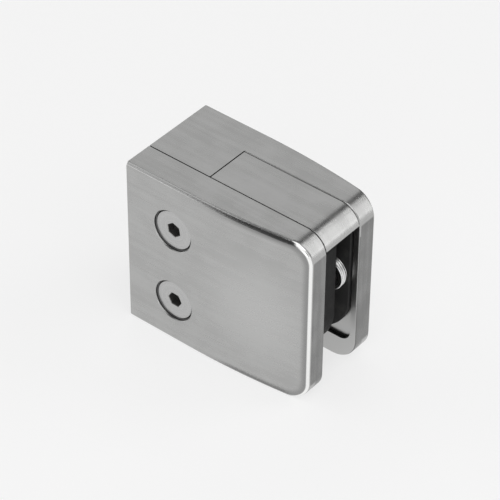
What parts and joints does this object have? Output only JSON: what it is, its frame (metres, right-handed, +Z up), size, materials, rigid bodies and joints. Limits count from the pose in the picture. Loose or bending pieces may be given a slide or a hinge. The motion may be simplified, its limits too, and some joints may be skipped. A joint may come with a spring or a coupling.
{
  "type": "glass clamp",
  "caption": "Square satin steel clamp that holds a glass panel's edge to a flat post, with a bolted-on front cover, rubber pads and a retaining pin in its slot.",
  "frame": {"origin": "centre of the face that sits against the post, on the axis of the post bolt's hole", "axes": "+X from the post towards the open end of the slot, +Y from the front cover towards the rear jaw, +Z up, with the clamp standing on its flat lower side"},
  "size_m": [0.05, 0.0276, 0.045],
  "materials": {
    "satin_steel": "fine satin brushing on stainless steel",
    "screw_steel": "turned stainless steel, lightly brushed head",
    "turned_steel": "turned stainless steel",
    "black_rubber": "matt black moulded rubber"
  },
  "bodies": {
    "block": {"clamp_body": "satin_steel", "closing_plate": "satin_steel", "back_pad": "black_rubber", "glass_pin": "turned_steel", "inner_plate_pin": "turned_steel", "outer_plate_pin": "turned_steel"},
    "cover": {"front_cover": "satin_steel", "front_pad": "black_rubber"},
    "upper_screw": {"upper_clamp_screw": "screw_steel"},
    "lower_screw": {"lower_clamp_screw": "screw_steel"}
  },
  "joints": [
    {"name": "cover_slide", "type": "slide", "parent": "block", "child": "cover", "axis": [0, -1, 0], "range_m": [0, 0.012]},
    {"name": "upper_screw_turn", "type": "hinge", "parent": "cover", "child": "upper_screw", "pos_m": [0.0132, 0, 0.0097], "axis": [0, -1, 0], "range_deg": [0, 5401]},
    {"name": "lower_screw_turn", "type": "hinge", "parent": "cover", "child": "lower_screw", "pos_m": [0.0132, 0, -0.0107], "axis": [0, -1, 0], "range_deg": [0, 5401]}
  ],
  "couplings": [
    {"joint": "upper_screw_turn", "follows": "cover_slide", "rad_per_m": 7854},
    {"joint": "lower_screw_turn", "follows": "cover_slide", "rad_per_m": 7854}
  ]
}
